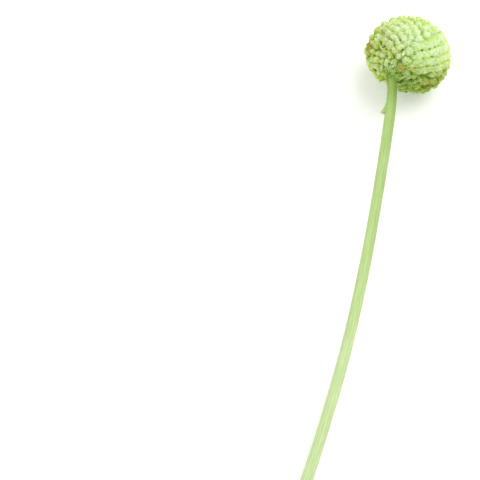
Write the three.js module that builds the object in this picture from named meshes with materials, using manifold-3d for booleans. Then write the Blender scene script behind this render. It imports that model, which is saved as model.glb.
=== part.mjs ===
// One dried billy button (Craspedia): a globe flower head on a bare stem, lying on its side.
// Millimetres, +Z up. The surface it lies on is z = 0, and the stem runs from the head towards -X.
import * as THREE from 'three';
import { ConvexHull } from 'three/addons/math/ConvexHull.js';
import { mergeVertices } from 'three/addons/utils/BufferGeometryUtils.js';
import Module from 'manifold-3d';

// Flower head, before it is turned: its axis is Z, with the crown up and the stem's socket below.
const HEAD_RADIUS = 16.2; // to the tips of the florets, across the axis
const HEAD_HALF_HEIGHT = 14.1; // to the tips of the florets, along the axis
const FLORETS = 384;
const FLORET_DEPTH = 1.25; // from a tip down to the valley round it
const SHOULDER_DEPTH = 0.3; // from a tip down to its shoulder
const SHOULDER_REACH = 0.62; // of the way from the tip out to the valley
const JITTER = 0.012; // how far a floret strays from its place in the spiral, on a head of radius 1
const HEIGHT_SPREAD = 0.2; // how far one floret stands above another
const COLLAR_RADIUS = 5.2; // the low swelling round the neck, where the bracts lie
const COLLAR_HEIGHT = 0.6;

// How the head lies: on one floret, pressed flat, with the neck raised and turned aside.
const RESTING_FLORET = 141; // counted from the crown, one facing straight down
const PRESSED = 0.42; // height lost by the florets that it lies on
const NECK_TURN = THREE.MathUtils.degToRad(5); // of the neck about Z, from -X towards +Y
const NECK_OFFSET = 2.8; // from the head's axis to the neck's, towards +Y

// Stem: radius at each distance from its top, which stands in the head's socket.
const STEM_PROFILE = [
  [0, 0], [0, 1.7], [0.5, 1.95], [4, 2.2], [6, 2.25], [9, 2.08], [14, 1.98], [30, 2.0], [80, 2.08],
  [150, 2.14], [200, 2.18],
];
const STEM_SIDES = 12;
const STEM_STEP = 6; // between rings along the straight part
const NECK_STEP = 2; // between rings near the head
const NECK_LENGTH = 30;
const STEM_IN_HEAD = [8.9, 11, 14.1]; // along the neck's line from the middle of the head, the stem's top first
const SEAT_GAP = 0.3; // between pieces that touch

// Route of the stem's middle after the neck: X and Y from the middle of the head, Z over the surface.
const ROUTE = [
  [-19.5, 2.5, 21.2], [-27, 1.5, 21.5], [-38, 0.5, 20.6], [-60, -0.9, 17.7], [-90, -2.2, 13.5],
  [-120, -2.3, 9.4], [-150, -0.8, 5.9], [-180, 1.8, 3.4], [-205, 4.8, 2.36], [-225, 7.8, 2.13],
  [-245, 11.4, 2.1], [-264, 15.4, 2.1],
];

// Leaf stub: a broken leaf base that clasps the stem.
const STUB_AT = 19.5; // from the stem's top to the stub's middle
const STUB_LENGTH = 4.4;
const STUB_SPREAD = 1.05; // half the angle that it clasps, in radians
const STUB_SPUR = 1.9; // how far its tip stands out
const STUB_THICKNESS = 0.45;

// Bracts round the neck.
const BRACTS = 6;
const BRACT_LENGTH = 2.9;
const BRACT_WIDTH = 1.9;
const BRACT_THICKNESS = 0.5;
const BRACT_FOOT = 2.65; // from the neck's axis to a bract's inner end

const HEAD_COLOUR = 0xb9d387;
const STEM_COLOUR = 0xa9c56f;
const STUB_COLOUR = 0x9db964;
const BRACT_COLOUR = 0x8fb04e;

const UP = new THREE.Vector3(0, 0, 1);
const DOWN = new THREE.Vector3(0, 0, -1);
const SKEW = new THREE.Vector3(0.3, 0.5, 0.8); // parallel to no floret's direction
const GOLDEN_ANGLE = Math.PI * (3 - Math.sqrt(5));

const wasm = await Module();
wasm.setup();

// A repeatable random number from 0 to 1.
function makeRandom(seed) {
  let state = seed;
  return () => {
    state = (Math.imul(state, 1664525) + 1013904223) >>> 0;
    return state / 4294967296;
  };
}

function material(colour) {
  return new THREE.MeshStandardMaterial({ color: colour, roughness: 0.85, metalness: 0 });
}

function geometryOf(positions, triangles) {
  const geometry = new THREE.BufferGeometry();
  geometry.setAttribute('position', new THREE.Float32BufferAttribute(positions, 3));
  geometry.setIndex(triangles);
  return geometry;
}

function welded(geometry) {
  const bare = geometry.clone();
  bare.deleteAttribute('normal');
  bare.deleteAttribute('uv');
  return mergeVertices(bare, 1e-4);
}

function solidOf(geometry) {
  const bare = welded(geometry);
  return new wasm.Manifold(new wasm.Mesh({
    numProp: 3,
    vertProperties: new Float32Array(bare.attributes.position.array),
    triVerts: new Uint32Array(bare.index.array),
  }));
}

function geometryOfSolid(solid) {
  const mesh = solid.getMesh();
  return geometryOf([...mesh.vertProperties], [...mesh.triVerts]);
}

// How far the tips' surface swells away from the middle of the head, at a point on it.
function collarAt(x, y, neck) {
  const away = Math.hypot(x - neck.x, y - neck.y);
  return COLLAR_HEIGHT * (1 - THREE.MathUtils.smoothstep(away, COLLAR_RADIUS * 0.6, COLLAR_RADIUS * 1.25));
}

// Distance from the middle of the head to its tips' surface, in the direction of a unit vector.
function headReach(direction, neck) {
  const across = Math.hypot(direction.x, direction.y);
  const reach = 1 / Math.hypot(across / HEAD_RADIUS, direction.z / HEAD_HALF_HEIGHT);
  if (direction.z > 0) return reach;
  return reach + collarAt(direction.x * reach, direction.y * reach, neck);
}

// The tips' surface under the head, at a distance from the neck in the direction of a spoke.
function underside(neck, spoke, distance) {
  const point = neck.clone().addScaledVector(spoke, distance);
  const level = Math.sqrt(1 - (point.x ** 2 + point.y ** 2) / HEAD_RADIUS ** 2);
  return point.setZ(-HEAD_HALF_HEIGHT * level - collarAt(point.x, point.y, neck));
}

// One direction for each floret, in the spiral order of a real head.
function floretDirections() {
  const random = makeRandom(7);
  const directions = [];
  for (let i = 0; i < FLORETS; i += 1) {
    const z = 1 - (2 * i + 1) / FLORETS;
    const across = Math.sqrt(1 - z * z);
    const turn = i * GOLDEN_ANGLE;
    const strays = i === RESTING_FLORET ? 0 : JITTER;
    const direction = new THREE.Vector3(
      across * Math.cos(turn) + strays * (2 * random() - 1),
      across * Math.sin(turn) + strays * (2 * random() - 1),
      z + strays * (2 * random() - 1),
    );
    directions.push(direction.normalize());
  }
  return directions;
}

// For each direction, the hull's faces round it, counter-clockwise seen from outside.
function cellsOf(directions) {
  const hull = new ConvexHull().setFromPoints(directions);
  const place = new Map(directions.map((direction, i) => [direction, i]));
  const corners = hull.faces.map((face) => face.normal.clone().normalize());
  const cells = directions.map(() => []);
  hull.faces.forEach((face, corner) => {
    let edge = face.edge;
    do {
      cells[place.get(edge.head().point)].push(corner);
      edge = edge.next;
    } while (edge !== face.edge);
  });
  cells.forEach((cell, i) => {
    const axisU = new THREE.Vector3().crossVectors(directions[i], SKEW).normalize();
    const axisV = new THREE.Vector3().crossVectors(directions[i], axisU);
    const angle = (corner) => Math.atan2(corners[corner].dot(axisV), corners[corner].dot(axisU));
    cell.sort((a, b) => angle(a) - angle(b));
  });
  return { corners, cells };
}

// The whole head: every floret is a dome with a tip, a shoulder ring and a valley shared with its neighbours.
function headGeometry(directions, neck) {
  const random = makeRandom(21);
  const { corners, cells } = cellsOf(directions);
  const positions = [];
  const triangles = [];
  const put = (direction, drop) => {
    const reach = headReach(direction, neck) - drop;
    positions.push(direction.x * reach, direction.y * reach, direction.z * reach);
    return positions.length / 3 - 1;
  };
  corners.forEach((corner) => put(corner, FLORET_DEPTH));
  cells.forEach((cell, i) => {
    const lower = i === RESTING_FLORET ? 0 : HEIGHT_SPREAD * random();
    const tip = put(directions[i], lower);
    const ring = cell.map((corner) => {
      const out = directions[i].clone().lerp(corners[corner], SHOULDER_REACH).normalize();
      return put(out, lower + SHOULDER_DEPTH);
    });
    cell.forEach((corner, k) => {
      const next = (k + 1) % cell.length;
      triangles.push(tip, ring[k], ring[next]);
      triangles.push(ring[k], corner, cell[next]);
      triangles.push(ring[k], cell[next], ring[next]);
    });
  });
  return geometryOf(positions, triangles);
}

// Outward normal of the tips' surface in a direction.
function headNormal(direction) {
  return new THREE.Vector3(
    direction.x / HEAD_RADIUS ** 2,
    direction.y / HEAD_RADIUS ** 2,
    direction.z / HEAD_HALF_HEIGHT ** 2,
  ).normalize();
}

// How the head lies: its turn, the height of its middle, and where its neck is before it is turned.
function layHead(directions) {
  const floret = directions[RESTING_FLORET];
  const turn = new THREE.Quaternion().setFromUnitVectors(headNormal(floret), DOWN);
  const out = DOWN.clone().applyQuaternion(turn);
  const aside = Math.PI - NECK_TURN - Math.atan2(out.y, out.x);
  turn.premultiply(new THREE.Quaternion().setFromAxisAngle(UP, aside));
  const neck = new THREE.Vector3(0, 1, 0).applyQuaternion(turn.clone().invert());
  neck.setZ(0).setLength(NECK_OFFSET);
  const tip = floret.clone().multiplyScalar(headReach(floret, neck)).applyQuaternion(turn);
  return { turn, neck, height: -tip.z - PRESSED };
}

function socketGeometry(neck) {
  const wide = STEM_PROFILE[4][1] + SEAT_GAP;
  const narrow = STEM_PROFILE[1][1] + SEAT_GAP;
  const top = SEAT_GAP - STEM_IN_HEAD[0];
  const profile = [
    [0, -HEAD_RADIUS], [wide, -HEAD_RADIUS], [wide, top - 4], [narrow + 0.25, top - 0.9], [narrow, top],
    [0, top],
  ];
  const socket = new THREE.LatheGeometry(profile.map(([x, y]) => new THREE.Vector2(x, y)), 16);
  return socket.rotateX(Math.PI / 2).translate(neck.x, neck.y, 0);
}

// The surface's side of the world, seen from the head before it is turned and placed.
function groundGeometry(place) {
  const box = new THREE.BoxGeometry(4 * HEAD_RADIUS, 4 * HEAD_RADIUS, 2 * HEAD_RADIUS);
  box.translate(0, 0, -HEAD_RADIUS);
  return box.applyMatrix4(place.clone().invert());
}

function makeHead(directions, pose) {
  const head = new THREE.Mesh(new THREE.BufferGeometry(), material(HEAD_COLOUR));
  head.name = 'flower_head';
  head.quaternion.copy(pose.turn);
  head.position.z = pose.height;
  head.updateMatrix();
  const whole = solidOf(headGeometry(directions, pose.neck));
  const socketed = whole.subtract(solidOf(socketGeometry(pose.neck)));
  head.geometry = geometryOfSolid(socketed.subtract(solidOf(groundGeometry(head.matrix))));
  return head;
}

// The stem's middle line: straight out of the socket, over the bend, down to the surface and along it.
function stemRoute(pose) {
  const inNeck = (distance) => {
    const point = pose.neck.clone().setZ(-distance).applyQuaternion(pose.turn);
    return point.setZ(point.z + pose.height);
  };
  const points = STEM_IN_HEAD.map(inNeck);
  ROUTE.forEach(([x, y, z]) => points.push(new THREE.Vector3(x, y, z)));
  const route = new THREE.CatmullRomCurve3(points);
  route.arcLengthDivisions = 1200;
  return route;
}

function stemRadius(distance) {
  const points = STEM_PROFILE;
  for (let i = 2; i < points.length; i += 1) {
    if (distance <= points[i][0]) {
      const share = (distance - points[i - 1][0]) / (points[i][0] - points[i - 1][0]);
      return THREE.MathUtils.lerp(points[i - 1][1], points[i][1], share);
    }
  }
  return points[points.length - 1][1];
}

// Bends a shape made round the Y axis, with Y as the distance from the stem's top, onto the route.
function bendAlong(geometry, route, length) {
  const position = geometry.attributes.position;
  const from = new THREE.Vector3();
  for (let i = 0; i < position.count; i += 1) {
    from.fromBufferAttribute(position, i);
    const share = THREE.MathUtils.clamp(from.y / length, 0, 1);
    const tangent = route.getTangentAt(share);
    const side = new THREE.Vector3().crossVectors(tangent, UP).normalize();
    const over = new THREE.Vector3().crossVectors(side, tangent);
    const to = route.getPointAt(share).addScaledVector(side, from.x).addScaledVector(over, from.z);
    position.setXYZ(i, to.x, to.y, Math.max(to.z, 0));
  }
  return geometry;
}

function makeStem(route, length) {
  const distances = [0, 0.5];
  for (let at = NECK_STEP; at < NECK_LENGTH; at += NECK_STEP) distances.push(at);
  const steps = Math.round((length - NECK_LENGTH) / STEM_STEP);
  for (let i = 0; i <= steps; i += 1) {
    distances.push(NECK_LENGTH + (i * (length - NECK_LENGTH)) / steps);
  }
  const profile = [
    new THREE.Vector2(0, 0),
    ...distances.map((at) => new THREE.Vector2(stemRadius(at), at)),
    new THREE.Vector2(0, length),
  ];
  const flatSideDown = Math.PI / STEM_SIDES;
  const geometry = welded(new THREE.LatheGeometry(profile, STEM_SIDES, flatSideDown));
  const stem = new THREE.Mesh(bendAlong(geometry, route, length), material(STEM_COLOUR));
  stem.name = 'stem';
  return stem;
}

// A clasping scale, wide at its foot, with one spur standing out from its middle.
function makeStub(route, length) {
  const across = 8;
  const along = 6;
  const positions = [];
  const triangles = [];
  const inner = stemRadius(STUB_AT) + SEAT_GAP;
  const layer = (thick) => {
    for (let j = 0; j <= along; j += 1) {
      for (let i = 0; i <= across; i += 1) {
        const u = (2 * i) / across - 1;
        const v = (2 * j) / along - 1;
        const angle = u * STUB_SPREAD * (1 - 0.45 * Math.abs(v));
        const spur = Math.max(0, 1 - Math.abs(u) * 1.3) ** 1.6 * Math.max(0, 1 - Math.abs(v)) ** 1.3;
        const edge = 1 - 0.45 * Math.max(Math.abs(u), Math.abs(v)) ** 2;
        const radius = inner + thick * (STUB_THICKNESS * edge + (STUB_SPUR - STUB_THICKNESS) * spur);
        positions.push(radius * Math.cos(angle), STUB_AT + (v * STUB_LENGTH) / 2, radius * Math.sin(angle));
      }
    }
  };
  layer(0);
  layer(1);
  const row = across + 1;
  const outer = row * (along + 1);
  const quad = (a, b, c, d) => triangles.push(a, b, c, a, c, d);
  for (let j = 0; j < along; j += 1) {
    for (let i = 0; i < across; i += 1) {
      const a = j * row + i;
      quad(a, a + 1, a + 1 + row, a + row);
      quad(outer + a, outer + a + row, outer + a + 1 + row, outer + a + 1);
    }
    const left = j * row;
    const right = left + across;
    quad(left, left + row, outer + left + row, outer + left);
    quad(right, outer + right, outer + right + row, right + row);
  }
  const last = along * row;
  for (let i = 0; i < across; i += 1) {
    quad(i, outer + i, outer + i + 1, i + 1);
    quad(last + i, last + i + 1, outer + last + i + 1, outer + last + i);
  }
  const shape = bendAlong(geometryOf(positions, triangles), route, length);
  const stub = new THREE.Mesh(shape, material(STUB_COLOUR));
  stub.name = 'leaf_stub';
  return stub;
}

// A scale that narrows to its tip, along +X.
function bractGeometry() {
  const shape = welded(new THREE.SphereGeometry(1, 10, 8));
  const position = shape.attributes.position;
  for (let i = 0; i < position.count; i += 1) {
    const taper = 1 - 0.5 * Math.max(0, position.getX(i)) ** 2;
    position.setY(i, position.getY(i) * taper);
  }
  return shape.scale(BRACT_LENGTH / 2, BRACT_WIDTH / 2, BRACT_THICKNESS / 2);
}

// The bracts lie on the collar, pointing out from the neck.
function makeBracts(pose) {
  const base = new THREE.Group();
  base.position.z = pose.height;
  base.quaternion.copy(pose.turn);
  for (let i = 0; i < BRACTS; i += 1) {
    const bract = new THREE.Mesh(bractGeometry(), material(BRACT_COLOUR));
    const spoke = new THREE.Vector3(1, 0, 0).applyAxisAngle(UP, ((i + 0.25) * 2 * Math.PI) / BRACTS);
    const foot = underside(pose.neck, spoke, BRACT_FOOT);
    const tip = underside(pose.neck, spoke, BRACT_FOOT + BRACT_LENGTH);
    const along = tip.clone().sub(foot).normalize();
    const side = new THREE.Vector3().crossVectors(UP, along).normalize();
    const inward = new THREE.Vector3().crossVectors(along, side);
    bract.name = `bract_${i + 1}`;
    bract.quaternion.setFromRotationMatrix(new THREE.Matrix4().makeBasis(along, side, inward));
    bract.position.copy(foot).lerp(tip, 0.5).addScaledVector(inward, -SEAT_GAP - BRACT_THICKNESS / 2);
    base.add(bract);
  }
  return base;
}

function makeBillyButton() {
  const directions = floretDirections();
  const pose = layHead(directions);
  const route = stemRoute(pose);
  const length = route.getLength();
  const group = new THREE.Group();
  group.add(makeHead(directions, pose));
  group.add(makeStem(route, length));
  group.add(makeStub(route, length));
  group.add(makeBracts(pose));
  const box = new THREE.Box3().setFromObject(group, true);
  group.position.x = -(box.min.x + box.max.x) / 2;
  group.position.y = -(box.min.y + box.max.y) / 2;
  return group;
}

export default makeBillyButton();
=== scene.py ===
import math

import bpy
import numpy as np
from mathutils import Matrix, Quaternion, Vector


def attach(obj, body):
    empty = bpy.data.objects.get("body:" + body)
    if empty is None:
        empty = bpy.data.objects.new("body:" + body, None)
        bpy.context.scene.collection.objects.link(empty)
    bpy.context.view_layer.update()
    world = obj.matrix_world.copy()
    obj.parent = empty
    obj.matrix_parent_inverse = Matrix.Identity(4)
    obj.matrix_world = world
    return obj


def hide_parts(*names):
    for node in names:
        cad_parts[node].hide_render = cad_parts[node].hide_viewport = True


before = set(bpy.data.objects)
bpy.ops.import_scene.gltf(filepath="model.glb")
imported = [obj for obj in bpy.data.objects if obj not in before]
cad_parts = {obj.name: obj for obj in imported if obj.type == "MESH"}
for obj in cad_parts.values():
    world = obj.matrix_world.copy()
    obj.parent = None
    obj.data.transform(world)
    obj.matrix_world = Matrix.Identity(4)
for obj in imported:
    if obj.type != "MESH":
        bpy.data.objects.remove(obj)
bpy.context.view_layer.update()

MM = 0.001

# The head, as the model has it: its own axis is Z, with the crown up and the neck below.
HEAD_RADIUS = 16.2
HEAD_HALF_HEIGHT = 14.1
FLORETS = 384
GOLDEN_ANGLE = math.pi * (3 - math.sqrt(5))
JITTER = 0.012
COLLAR_RADIUS = 5.2
COLLAR_HEIGHT = 0.6
DIRECTION_SEED = 7
RESTING_FLORET = 141
PRESSED = 0.42
NECK_TURN = math.radians(5)
NECK_OFFSET = 2.8
HEAD_AT = (125.1224, -0.6831)  # the middle of the head, in X and Y

# The stem's middle line after the neck: X and Y from the middle of the head, Z from the surface
ROUTE = [
    (-19.5, 2.5, 21.2), (-27, 1.5, 21.5), (-38, 0.5, 20.6), (-60, -0.9, 17.7),
    (-90, -2.2, 13.5), (-120, -2.3, 9.4), (-150, -0.8, 5.9), (-180, 1.8, 3.4),
    (-205, 4.8, 2.36), (-225, 7.8, 2.13), (-245, 11.4, 2.1), (-264, 15.4, 2.1),
]
# and its radius, by distance from its top
STEM_RADII = [
    (0, 1.5), (0.5, 1.6), (5, 1.72), (9, 1.78), (14, 1.84), (20, 1.95), (30, 2.0),
    (80, 2.08), (150, 2.14), (200, 2.18), (300, 2.18),
]
STEM_IN_HEAD = (8.9, 11.0, 14.1)  # from the head's middle down its axis
STEM_SEGMENTS = 40
STEM_STEP = 1.1
TANGENT_REACH = 0.6  # from a point of the stem to those that give its direction
RIBS, FINE_RIBS = 11, 23
RIB_HEIGHT, FINE_HEIGHT, SWELL_HEIGHT, LEVEL = 0.075, 0.03, 0.02, 0.05
CUT_ROUNDING, CUT_ROUNDED = 0.14, 0.3  # how far the rim is turned in, and over what length
# The cut end's rings: their share of the radius, and how far they are hollowed
CUT_RINGS = [(0.86, 0.0), (0.62, 0.06), (0.36, 0.22), (0.16, 0.32)]
CUT_HOLLOW = 0.34  # in the middle
PITH = 1.15  # the fact "cut" in the middle; it falls by a ring's share
CUT_FLOW = 40.0  # where the cut end lies in the pattern of the stem's fibres

# The leaf stub, by distance from the stem's top, and the bracts round the neck
STUB_FROM, STUB_TO = 17.8, 22.4
STUB_TIP = 0.8  # of the way along the stub
STUB_SPREAD = 1.05  # half the angle that it clasps, in radians
STUB_REACH = 3.9  # of its tip from the stem's middle
STUB_SUNK = 0.35  # its back, under the stem's surface
BRACT_FOOT = 1.75
BRACT_THICKNESS = 0.17
BRACT_SUNK = 0.2  # from the florets' tips into the head
# Of each bract: length, width, how far it lies over the florets, how far its tip curls away from
# them, how fresh it is (a darker green, partly painted shade), and how far it is turned from its
# node's middle, in degrees
BRACTS = [
    (2.5, 2.8, -0.2, 4.0, 1.0, 2),
    (2.4, 1.7, -0.45, 0.0, 0.75, 0),
    (2.3, 1.6, -0.45, 0.0, 0.75, 0),
    (4.2, 1.7, 0.3, 0.4, 0.5, 0),
    (3.5, 1.8, 0.1, 0.3, 0.6, 0),
    (2.8, 1.9, 0.1, 0.1, 0.7, 0),
]

# Florets
GRID = 128  # faces along each side of each of the six patches of the head
PATCH_MARGIN = 0.02  # left free round each patch in the flat map
NEAREST = 8  # florets that shape each point of the surface
VALLEY = 0.95  # how far under the tips two florets meet
STEEPNESS = 2.6  # the higher, the flatter a floret's top and the steeper its sides
# How merged florets differ: longer, narrower, more even, steeper, and longer buds
LONGER, NARROWER, EVENER, STEEPER, LONGER_BUDS = 0.9, 0.08, 0.6, 1.2, 0.8
BLEND = 12  # per millimetre: the higher, the sharper the valleys
DEEPEST = 1.9
ROUND = 15.4  # mean radius of the head, for distances over it
SEEN_DROP = 0.5  # from the model's tips down to the surface that is seen
FLORET_SEED, BAND_SEED = 4, 8
LIFT_SPREAD = 0.42  # how far florets differ in height
WITHERED_LIFT_SPREAD = 0.3  # and how much further withered ones do
FLORET_DROP = 0.1
WITHERED_APART = 0.8  # how much less withered ones merge
NEIGHBOURS = 6  # whose distance gives a floret's size
SAME = 0.9999  # the least cosine between directions of one floret
STRAY = 0.32  # from their even places
SIZE_SPREAD = 0.12
MERGED_RELIEF, WITHERED_RELIEF, ROUGHER_RELIEF = -0.74, 0.35, 0.4
RING_RELIEF, KNOB_RELIEF = 0.3, 0.1
RELIEF_SPREAD = 0.1
LEAN = 0.09
ALIKE = 0.75  # how much less merged florets differ
LOBES = [(0.72, 4), (1.5, 8)]  # a floret's rings of small buds: their radius and number
BUD_RADIUS, BUD_HEIGHT, MERGED_BUD = 0.62, 0.2, -0.04
GROOVE_WIDTH, GROOVE_DEPTH = 0.34, 0.2  # between two buds
NECK_GROOVE, LOW_GROOVE, WITHERED_GROOVE, MERGED_GROOVE = 0.22, 0.1, 0.12, -0.05
HEART_RADIUS, HEART_GROWTH, HEART_DEPTH = 0.45, 0.65, 0.4
WANDER = 0.24  # how far the florets' edges wander
WANDER_WAVE, WANDER_SEEDS = 3.1, (11, 12, 13)
ROUGHNESS, WITHERED_ROUGHNESS = 0.06, 1.5
ROUGH_WAVE, ROUGH_SEED = 1.1, 14
NECK_PIT, NECK_PIT_RADII = 3.0, (0.9, 1.65)  # where the stem's top goes in
# Over which the painted shade round the neck and its deeper grooves fade out
NECK_COLOUR_RADII = (3.5, 9)
# The fact "depth": 1 where florets are darkest, so far down. Darker in the gaps: partly the florets'
# greener lower parts, partly painted shade
DARKEST = 1.5
GROOVE_DARK, HOLE_DARK = 0.75, 0.9
# Painted light: outline knobs paler in their gaps, less so where they face the camera; less painted
# shade in the gaps on the lit upper side and in the mint middle
KNOB_LIGHT, KNOB_FRONT_DARK, PALE_LIGHT = 0.55, 0.4, 0.3
WITHERED_WANDER, SEAM_WANDER = 0.04, 0.016

# Directions below are given to the right, above and to the camera. The two numbers after one are
# the cosines of the angles from it where a change begins and where it is complete.
# Where florets merge into bands: circles round a pole, on the side that faces the right
BAND_POLE = (-0.04, 0.92, 0.39)
BAND_SIDE = ((0.85, -0.05, 0.55), 0.5, 0.82)
BAND_FADE = 1.8  # before the phase
BAND_STEP = 3.29
BAND_PHASE = 14.73  # from the pole to one of the seams between bands
BAND_PITCH = 2.9  # between florets along a band
BAND_STRAY = 0.15  # of a pitch
BANDS = range(-4, 10)  # all that are on the head, counted from the phase
BANDED = 0.35  # the least share of merging where florets stand in bands
BANDED_GAP = 2.3  # the least distance from these to the model's
SEAMS = (0.9, 0.45, 0.3, 0.35, 0.2)  # how clearly each seam shows, from the phase on
SEAM_WIDTH = 0.4
SEAM_SIDE, SEAM_FRONT = ((0.85, -0.05, 0.55), 0.6, 0.8), ((0, 0, 1), -0.2, 0.05)

# Where the head stands above or below the model's, and how far
LIFTS = [
    ((0, 1, 0), 0.75, 1, -0.7),
    ((-1, 0.05, 0), 0.8, 1, 0.7),
    ((1, -0.75, 0), 0.85, 1, 0.5),
    ((-0.3, -1, 0), 0.8, 1, -0.9),
    ((-0.59, -0.68, -0.43), 0.88, 0.97, -1.8),
]
LIFT_ALL = -0.2
NECK_LIFT, NECK_LIFT_RADIUS = 1.6, 4.5
# Where florets between those that stand out on the outline lie lower, and how far
OUTLINE_LOW = [((-0.259, 0.966, 0), 0.39, 0.49, 1.3), ((0.94, -0.34, 0), 0.88, 0.94, 0.52)]
# and the cosines to the camera between which a floret is near the outline
OUTLINE_BEHIND, OUTLINE_BEFORE = (-0.5, -0.1), (0.2, 0.5)
ROUGHER = ((0.85, -0.5, 0.1), 0.85, 0.98)
MERGE_FRONT = (-0.4, -0.05)
# Where the florets' colour changes: a cooler tint in the middle, painted shade on the left, on the
# lower side and round the neck, and painted light on the upper side
MINT = ((0.39, 0.1, 0.91), 0.7, 0.97)
# Painted shade: the left side a little darker and yellower
LEFT_SHADE = ((-0.9, 0.25, 0.4), 0.75, 0.97)
# Painted shade: olive and darker on the lower side; it also deepens the grooves there
LOW = ((0.27, -0.96, 0), 0.35, 0.95)
# Painted shade round the neck: a share of it on the neck's left, all of it on its right
NECK_RIGHT, NECK_LEFT_SHARE, NECK_RIGHT_SHARE = ((1, 0, 0), -0.6, -0.34), 0.3, 0.9
# Painted light: paler on the upper side, where the light falls
PAINTED_LIGHT = [
    ((0.7, 0.6, 0.4), 0.55, 0.97, 0.8),
    ((0, 0.38, 0.92), 0.92, 0.99, 1.2),
    ((-0.45, 0.66, 0.6), 0.85, 0.97, 1.0),
]

# Places seen from the camera: millimetres to the right and above the head's middle, and how much.
# Florets that have withered
WITHERED = [
    (-14.3, 3.9, 1), (-14.1, 2.4, 1), (-15.2, 3.0, 1), (-15.0, 4.2, 1), (-14.7, 1.9, 0.9),
    (-15.2, -1.4, 0.6), (-14.9, -3.0, 0.6), (-4.9, 0.7, 0.75), (-5.5, -1.5, 0.5), (-8.0, -4.6, 0.5),
    (7.1, -11.9, 1), (8.3, -11.8, 1), (7.8, -11.1, 1), (9.3, -11.2, 0.8), (11.7, -8.4, 0.7),
    (10.8, -9.6, 0.7), (9.8, -12.1, 0.8), (12.2, -7.2, 0.7), (9.6, -7.6, 0.55), (5.6, -9.6, 0.5),
    (13.4, -5.4, 0.5), (-10.6, -5.0, 0.3),
]
WITHERED_RADIUS, WITHERED_TINT_RADIUS = 2.0, 1.35
# Florets that are open, with an orange heart, and others that are placed one by one
OPEN = [(-3.1, -5.1, 0.8), (0.7, -5.15, 0.5), (-0.9, -2.7, 0.4), (4.0, -9.2, 0.3)]
SINGLE = [(9.3, -7.7), (4.2, -9.8), (11.9, -7.0), (-0.2, -8.9), (2.1, -10.6), (-1.0, -6.9)]
ROOM, SMALL_ROOM = 2.2, 1.75  # kept free round those with a ring or a heart, and round others
# Where the surface stands higher
RAISED = [(-5.4, -7.3, 1.5), (-3.2, -7.2, 0.6), (-11.3, -8.4, 0.5)]
RAISED_RADIUS = 1.9
# Deep gaps between florets, darkened with painted shade
HOLES = [
    (5.1, 1.6, 1), (8.0, 2.1, 0.8), (10.0, 2.8, 0.8), (11.2, 3.4, 0.6), (12.3, 4.6, 0.7),
    (-0.4, -0.9, 0.6), (2.3, 0.0, 0.7), (5.5, -1.5, 0.7), (9.1, -0.9, 0.9), (11.4, 0.2, 0.5),
    (2.5, -5.2, 0.7), (6.8, -4.6, 0.6), (9.6, -4.4, 0.5), (5.3, -7.9, 0.8), (11.2, -11.2, 0.9),
    (-10.2, 9.1, 0.9), (-9.7, 8.5, 0.8), (-12.7, 6.7, 0.9), (-12.1, 6.5, 0.6), (-6.6, 5.7, 0.9),
    (-7.4, 6.2, 0.7), (-3.3, 5.9, 0.8), (-11.0, 4.8, 1), (-10.2, 2.9, 0.9), (-9.6, 3.1, 0.7),
    (-8.5, 2.1, 0.8), (-5.5, 3.6, 0.7), (-8.1, -0.5, 1), (-7.0, 11.4, 0.6), (-2.8, 1.1, 1.2),
    (-2.3, 1.7, 1.2), (-5.2, -0.6, 0.7), (-7.0, -3.4, 1.1), (-10.4, -3.2, 0.9), (-8.9, -4.5, 1),
    (-13.8, 3.0, 0.8), (-2.1, -7.7, 1), (-1.9, -9.4, 0.9), (0.2, -11.3, 1), (2.5, -12.3, 0.9),
    (3.2, -9.2, 0.8), (10.0, -10.0, 0.9), (8.9, -12.8, 0.8), (-5.2, -4.9, 0.9), (8.2, -7.0, 0.6),
]
HOLE_RADIUS = 0.45
# Painted highlights on floret tips
PALE = [
    (-12.9, 5.7, 1), (-12.2, 5.5, 0.8), (-6.8, 5.0, 0.6), (-9.1, 7.1, 0.7), (-6.2, -3.1, 1),
    (-5.6, -3.6, 0.8), (-0.6, 10.6, 0.9), (-3.8, 10.1, 0.9), (-3.4, 10.9, 0.7), (1.3, 8.8, 0.9),
    (2.8, 11.0, 0.9), (3.9, 9.2, 0.9), (3.9, 8.2, 0.7), (6.7, 10.4, 1), (6.7, 9.6, 0.9),
    (10.6, 8.4, 0.8), (11.2, 7.7, 0.8), (-4.2, 6.9, 0.8), (-1.6, 8.0, 0.7), (0.6, 5.6, 0.8),
    (0.3, 4.8, 0.7), (-5.8, 7.3, 0.6), (4.0, 6.5, 0.7), (3.4, 5.8, 0.7), (4.4, -9.7, 0.5),
    (9.1, -8.1, 0.6), (11.4, -10.4, 0.7), (0.3, -8.6, 0.5), (12.8, -6.2, 0.8), (13.6, -8.6, 0.7),
    (-2.2, 4.2, 0.8), (-11.6, 1.0, 0.9), (-2.4, -2.1, 0.8), (3.6, -8.1, 0.9), (-8.6, -6.9, 0.6),
    (13.2, -7.4, 0.6), (-4.1, -1.4, 0.6), (-10.7, 0.1, 0.6),
]
PALE_RADIUS = 0.75
# Painted shade: florets coloured a little darker than the rest
SHADED = [
    (-5.5, -5.2, 1), (-2.4, -7.9, 1), (1.4, -11.0, 0.6), (-8.2, 6.8, 0.9), (-7.8, 4.4, 0.9),
    (-5.4, 4.4, 0.7), (10.2, -2.0, 0.7), (12.6, 1.2, 0.7), (9.8, -5.0, 0.7), (0.6, 4.2, 0.4),
    (3.6, -5.4, 0.8), (6.8, -5.0, 0.6), (-5.0, -6.2, 0.5), (-8.6, 9.8, 0.8), (-14.4, -2.2, 0.9),
    (12.6, 3.6, 0.7),
]
SHADED_RADIUS = 2.0
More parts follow.
